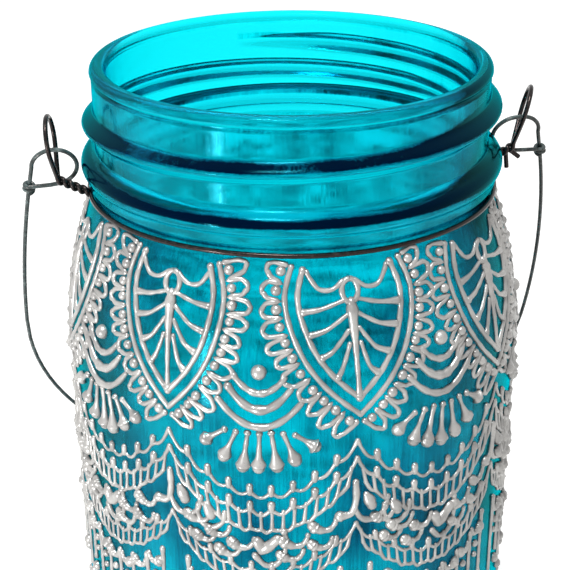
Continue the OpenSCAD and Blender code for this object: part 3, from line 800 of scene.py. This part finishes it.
def pasteMaterial():
    # pearly outliner paste squeezed from a nozzle: silver grey with a satin, slightly metallic skin
    material, tree, output = newMaterial("silverOutlinerPaste")
    speck, cloud = noiseNode(tree, 0.35, 0.35, 3), noiseNode(tree, 6, 6, 2)
    setSurface(tree, output, {
        "Base Color": rampNode(tree, cloud, [(0.35, paste["dark"]), (0.65, paste["pale"])]),
        "Roughness": rangeNode(tree, speck, 0.22, 0.38), "Metallic": paste["metallic"],
        "Specular IOR Level": 0.5, "Normal": bumpNode(tree, speck, 0.35, 0.0001)})
    return material


def buildOrnament(name, panels, node):
    # panels holds a centre angle with its own strokes and beads
    runs, spots = [], []
    for centre, (strokes, dots) in panels:
        runs += [[(onGlass(centre, u, v), w) for u, v, w in line] for line in strokes]
        spots += [(onGlass(centre, u, v), w) for u, v, w in dots]
    piece = runTree(curveFrom(name + "Strokes", runs), lineShape, {"Material": silver}, name)
    mesh = bpy.data.meshes.new(name + "Spots")
    mesh.from_pydata([place for place, size in spots], [], [])
    sizes = mesh.attributes.new("size", "FLOAT", "POINT")
    sizes.data.foreach_set("value", [size for place, size in spots])
    source = bpy.data.objects.new(name + "Spots", mesh)
    scene.collection.objects.link(source)
    beads = runTree(source, beadShape, {"Material": silver}, name + "Beads")
    for part in (piece, beads):
        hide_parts(node)
        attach(part, "jar")


silver = pasteMaterial()
lineShape, beadShape = pasteTree(), beadTree()
petalCentres = [paste["firstAngle"] + stepAngle * k for k in range(paste["panels"])]
gapCentres = [centre + stepAngle / 2 for centre in petalCentres]
petals = zip(petalCentres, paste["shift"], paste["lean"], paste["swell"])
buildOrnament("petalLines", [(centre + shift / paste["degreeLength"], petalStrokes(lean, swell))
                             for centre, shift, lean, swell in petals], "petal_relief")
gaps = zip(gapCentres, paste["lift"])
buildOrnament("swagLines", [(centre, gapStrokes(lift)) for centre, lift in gaps], "swag_relief")
buildOrnament("bandLines", [(centre, bandStrokes()) for centre in gapCentres], "band_relief")
print("ornament piped")


# the wires in millimetres and degrees, the same as the solids'
wires = {
    "collar": 1.0, "collarRadius": 42.2, "twistTurns": 2.25, "twistSpread": 0.53,
    "earReach": 48.5, "earRise": 3.3, "earHeight": 13.4, "earRadius": 4.8,
    "leanLeft": 6, "leanRight": 15, "yawLeft": 10, "yawRight": 18,
    "bail": 0.9, "pivotRise": 6.1, "clearance": 0.4, "eyeTop": 0.5, "coilTurns": 2,
    "depth": 116.0, "reachLeft": 57.3, "reachRight": 64.4, "waistLeft": 52, "waistRight": 67,
    "gap": 0.35, "restShare": 0.909,
}


def wireMaterial(name, dark, middle, rubbed):
    # annealed iron wire under a smooth black oxide skin, which gleams like enamel
    material, tree, output = newMaterial(name)
    scale = noiseNode(tree, 1.4, 1.4, 5, 0.65)
    setSurface(tree, output, {
        "Base Color": rampNode(tree, scale, [(0.32, dark), (0.55, middle), (0.75, rubbed)]),
        "Roughness": rangeNode(tree, scale, 0.15, 0.28), "Specular IOR Level": 0.28,
        "Specular Tint": linearColour("#FFE4DE"), "Normal": bumpNode(tree, scale, 0.2, 0.00004)})
    return material


def bendWire(name, paths, thickness, material):
    runs = [[(place * mm, 1.0) for place in path] for path in paths]
    values = {"Wire radius": thickness / 2 * mm, "Material": material}
    return runTree(curveFrom(name + "Run", runs), roundWire, values, name)


def strandPath(run, rise, start):
    # one strand of the twist, from the collar out to the ear's foot
    length = hypot(run, rise)
    outward, lift = Vector((run, 0, rise)) / length, Vector((-rise, 0, run)) / length
    path = []
    for t in steps(0, 1, 40):
        a = radians(start + 360 * wires["twistTurns"] * t)
        aside = lift * cos(a) + Vector((0, 1, 0)) * sin(a)
        path.append(outward * length * t + wires["collar"] * wires["twistSpread"] * aside)
    return path


def earPath(lean, yaw):
    # a pear-shaped loop from the twist and back to it, leaned outwards and turned
    r, centre = wires["earRadius"], wires["earHeight"] - wires["earRadius"]
    half = asin(r / centre)
    sideX, sideY = r * cos(half), centre - r * sin(half)
    foot = [(sideX * t, sideY * t) for t in (0.12, 0.3, 0.5, 0.75)]
    flat = foot + arcPoints(0, centre, r, -degrees(half), 180 + degrees(half), 36)
    flat += [(-x, y) for x, y in reversed(foot)]
    lean, yaw = radians(lean), radians(yaw)
    return [Vector((x * sin(yaw) * cos(lean) + y * sin(lean), x * cos(yaw),
                    y * cos(lean) - x * sin(yaw) * sin(lean))) for x, y in flat]


def buildCollar():
    w = wires
    run, rise = w["earReach"] - w["collarRadius"], w["earRise"]
    ring = []
    for i in range(241):
        # a hand-wound ring is not quite flat
        a = radians(i * 1.5)
        dip = 0.12 * sin(a * 3 + 0.6) + 0.08 * sin(a * 5)
        ring.append(Vector((w["collarRadius"] * cos(a), w["collarRadius"] * sin(a), grooveZ + dip)))
    paths = [ring]
    start = 90 - 360 * w["twistTurns"]
    for side, lean, yaw in ((1, w["leanRight"], w["yawRight"]), (-1, w["leanLeft"], -w["yawLeft"])):
        path = strandPath(run, rise, start)
        path += [place + Vector((run, 0, rise)) for place in earPath(lean, yaw)]
        path += reversed(strandPath(run, rise, start + 180))
        paths.append([Vector((side * (x + w["collarRadius"]), y, z + grooveZ)) for x, y, z in path])
    for along, dx, dz in ((0.78, 0.4, -3.6), (0.9, 2.3, -1.8)):
        # the two cut ends stick out of the twist
        foot = Vector((w["collarRadius"] + run * along, 0, grooveZ + rise * along - w["collar"] * 0.38))
        paths.append([foot + Vector((dx, 0, dz)) * t for t in (0, 0.33, 0.66, 1)])
    piece = bendWire("collarLoop", paths, w["collar"], iron)
    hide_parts("collar_wire")
    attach(piece, "jar")


def eyeSizes():
    # where the bail's eye ends, past the ear's tip, with the radius and middle of its bend
    w = wires
    far = w["earHeight"] - w["pivotRise"] + w["collar"] / 2 + w["bail"] / 2 + w["clearance"]
    return far, (far + w["eyeTop"]) / 2, (far - w["eyeTop"]) / 2


def eyeBend(lean):
    # how far out the eye's bend stands, so that it clears the ear's tip as the bail swings over it
    w = wires
    far, radius, centre = eyeSizes()
    tip = w["earReach"] + w["earHeight"] * sin(radians(lean))
    room = (w["collar"] + w["bail"]) / 2 + w["clearance"] + 0.2
    return tip + room - sqrt(radius ** 2 - (w["earHeight"] - w["pivotRise"] - centre) ** 2)


def arcAside(cx, cy, r, start, end, count, aside):
    # an arc that comes back to the bail's plane along its way
    points = arcPoints(cx, cy, r, start, end, count)
    return [(x, y, aside * (1 - i / count)) for i, (x, y) in enumerate(points)]


def bailHalf(reach, waist, bendX):
    # one side from the coiled end to the bottom: how far out, down and aside of the bail's plane
    w = wires
    far, radius, centre = eyeSizes()
    inner = jarSizes["beadRadius"] + w["bail"] / 2 + w["clearance"] + radius
    bendX = max(bendX, inner)
    dx, dy = reach - bendX - radius, waist - centre
    sideRadius = (dx * dx + dy * dy) / 2 / dx
    corner = w["depth"] - waist
    coil, lap = w["bail"] * 1.04, w["bail"] * 1.1
    path = []
    for turn in steps(w["coilTurns"], 0, w["coilTurns"] * 20):
        a = radians(90 - 360 * turn)
        down = far + lap * turn
        side = reach - sideRadius + sqrt(sideRadius ** 2 - (waist - down) ** 2)
        path.append((side + coil * cos(a), down, coil * sin(a)))
    path.append((bendX + 1, far, coil * 0.8))
    path += arcAside(inner, centre, radius, 90, 270, 24, coil * 0.6)
    path += arcAside(bendX + 0.02, centre, radius, 270, 360, 14, 0)
    flank = -degrees(asin(dy / sideRadius)) * 0.86
    path += arcAside(reach - sideRadius, waist, sideRadius, flank, 0, 14, 0)
    path += arcAside(reach - corner, waist, corner, 6, 90, 24, 0)
    return path


def buildBail():
    w = wires
    pivotZ = grooveZ + w["earRise"] + w["pivotRise"]
    # at rest the wire hangs a small gap off the raised lines at the jar's back
    restY = glassRadius(pivotZ - w["depth"] * w["restShare"]) + paste["height"] + w["gap"] + w["bail"] / 2
    lean = asin(restY / w["depth"])
    half = bailHalf(w["reachRight"], w["waistRight"], eyeBend(w["leanRight"]))
    other = bailHalf(w["reachLeft"], w["waistLeft"], eyeBend(w["leanLeft"]))
    half += [(-x, down, aside) for x, down, aside in reversed(other)]
    path = [Vector((x, down * sin(lean) - aside * cos(lean),
                    pivotZ - down * cos(lean) - aside * sin(lean))) for x, down, aside in half]
    piece = bendWire("bailWire", [path], w["bail"], paleLitIron)
    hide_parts("bail")
    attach(piece, "bail")


roundWire = wireTree()
iron = wireMaterial("annealedIronWire", "#0A0B0C", "#141718", "#3A3736")
# painted light: the bail is the same iron as the collar, painted paler for the brighter look it has
paleLitIron = wireMaterial("paleLitIronWire", "#2C3636", "#4E5C5C", "#8E9C9B")
buildCollar()
buildBail()
print("wires bent")


# the candle in millimetres
tealight = {
    "radius": 19.0, "height": 15.6, "wall": 0.4, "foot": 1.2, "ribs": 60, "ribDepth": 0.14,
    "wax": 12.4, "wickHole": 0.8,
}


def plainMaterial(name, low, high, size, roughness, metallic=0.0, extra=None):
    # a finish that drifts between two near colours
    material, tree, output = newMaterial(name)
    noise = noiseNode(tree, size, size, 4)
    setSurface(tree, output, {
        "Base Color": rampNode(tree, noise, [(0.3, low), (0.7, high)]), "Metallic": metallic,
        "Roughness": rangeNode(tree, noise, roughness * 0.8, roughness * 1.25),
        "Normal": bumpNode(tree, noise, 0.2, 0.0001), **(extra or {})})
    return material


def cupRibs(r, z, a):
    # pressed ribs round the cup's side
    s, base = tealight, jarSizes["floor"]
    if r > s["radius"] - 0.7 and base + 0.8 < z < base + s["height"] - 1.2:
        r -= s["ribDepth"] * (0.5 + 0.5 * cos(a * s["ribs"]))
    return r, z


def buildCup():
    s, base = tealight, jarSizes["floor"]
    r, wall, top = s["radius"], s["wall"], base + s["height"]
    profile = [(0, base), (r - s["foot"], base), (r - 0.8, base + 0.2)]
    profile += zip(steps(r - 0.6, r - 0.2, 12), steps(base + 0.6, top - 0.7, 12))
    profile += [(r, top - 0.4), (r, top), (r - wall - 0.3, top), (r - wall - 0.5, top - 0.5),
                (r - wall - 0.6, base + 0.9), (r - wall - s["foot"], base + wall), (0, base + wall)]
    cup = lathe("tealightCup", profile, 360, cupRibs)
    cup.data.materials.append(plainMaterial("pressedAluminium", "#C9CACC", "#E4E5E7", 3.0, 0.3, 1.0))
    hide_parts("tealight_cup")
    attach(cup, "tealight")


def buildWax():
    s = tealight
    r, hole, low = s["radius"] - s["wall"] - s["foot"], s["wickHole"], jarSizes["floor"] + s["wall"]
    top = low + s["wax"]
    profile = smoothRun([(hole + 0.6, low + 0.4), (r, low), (r + 0.5, low + 1.2), (r + 0.5, top - 0.4),
                         (r - 0.2, top), (r - 2, top - 0.35), (r * 0.5, top - 0.55), (3, top - 0.5),
                         (1.6, top - 0.35), (hole, top - 0.2)], 4)
    wax = lathe("tealightWax", profile + [profile[0]], 96)
    glow = {"Subsurface Weight": 0.35, "Subsurface Scale": 0.004}
    wax.data.materials.append(plainMaterial("paraffinWax", "#E9E4D8", "#F6F3EC", 9.0, 0.42, 0.0, glow))
    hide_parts("tealight_wax")
    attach(wax, "tealight")


buildCup()
buildWax()
# the wick and its foot plate stay as the solids are, in finishes of their own
finishes = {
    "tealight_wick": plainMaterial("braidedCotton", "#D8D0BC", "#F1ECDD", 0.5, 0.85),
    "wick_foot": plainMaterial("tinPlate", "#9A9A9E", "#C4C4C8", 1.0, 0.35, 1.0),
}
for nodeName, finish in finishes.items():
    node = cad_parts[nodeName]
    node.data.materials.clear()
    node.data.materials.append(finish)
print("tealight set")


# the studio in metres and watts; aim is the height on the jar's axis that a light points at
studio = {
    "floor": "#C4C4C2", "floorSize": 6, "floorLift": 0.82, "glassLift": 0.95, "world": 0.1,
    "keyLight": {"power": 24.0, "width": 0.36, "tall": 0.36, "place": (-0.26, -0.42, 1.5), "aim": 0.12},
    "fillLight": {"power": 0.5, "width": 1.2, "tall": 1.2, "place": (0.9, -0.9, 0.7), "aim": 0.12},
    "stripLight": {"power": 0.7, "width": 0.014, "tall": 0.14, "place": (-0.242, -0.196, 0.05), "aim": 0.035},
}


def addFloor():
    bpy.ops.mesh.primitive_plane_add(size=studio["floorSize"])
    floor = bpy.context.object
    floor.name = "floor"
    material, tree, output = newMaterial("paleFloor")
    path = addNode(tree, "ShaderNodeLightPath").outputs
    matte = firstOutput(tree, "ShaderNodeBsdfDiffuse", {"Color": linearColour(studio["floor"])})
    # the bare floor is lifted to white, by one amount for the camera and another in glass and gloss
    inGlass = mathNode(tree, "ADD", path["Is Glossy Ray"], path["Is Transmission Ray"], clamp=True)
    inGlass = mathNode(tree, "MULTIPLY", inGlass, studio["glassLift"])
    lift = mathNode(tree, "MULTIPLY_ADD", path["Is Camera Ray"], studio["floorLift"], inGlass)
    glow = firstOutput(tree, "ShaderNodeEmission", {"Color": (1, 1, 1, 1), "Strength": lift})
    both = firstOutput(tree, "ShaderNodeAddShader", {0: matte, 1: glow})
    tree.links.new(both, output.inputs["Surface"])
    floor.data.materials.append(material)


def addWorld():
    # white where it is seen, mirrored or seen through glass, and only a dim light on the object
    world = bpy.data.worlds.new("studioWorld")
    scene.world = world
    world.use_nodes = True
    tree = world.node_tree
    tree.nodes.clear()
    path = addNode(tree, "ShaderNodeLightPath").outputs
    seen = mathNode(tree, "ADD", path["Is Camera Ray"], path["Is Glossy Ray"], clamp=True)
    seen = mathNode(tree, "ADD", seen, path["Is Transmission Ray"], clamp=True)
    strength = rangeNode(tree, seen, studio["world"], 1.0)
    sky = firstOutput(tree, "ShaderNodeBackground", {"Color": (1, 1, 1, 1), "Strength": strength})
    addNode(tree, "ShaderNodeOutputWorld", {}, {"Surface": sky})


def addLight(name, hiddenFrom=()):
    s = studio[name]
    data = bpy.data.lights.new(name, "AREA")
    data.energy = s["power"]
    data.shape = "RECTANGLE"
    data.size = s["width"]
    data.size_y = s["tall"]
    lamp = bpy.data.objects.new(name, data)
    lamp.location = s["place"]
    lamp.rotation_euler = (lamp.location - Vector((0, 0, s["aim"]))).to_track_quat("Z", "Y").to_euler()
    for ray in hiddenFrom:
        setattr(lamp, "visible_" + ray, False)
    scene.collection.objects.link(lamp)


addFloor()
addWorld()
addLight("keyLight")
addLight("fillLight", ("glossy",))
# the strip stands low beside the jar: its image is the pale upright streak on the neck
addLight("stripLight", ("camera", "transmission"))
scene.view_settings.view_transform = "Standard"
print("studio lit")
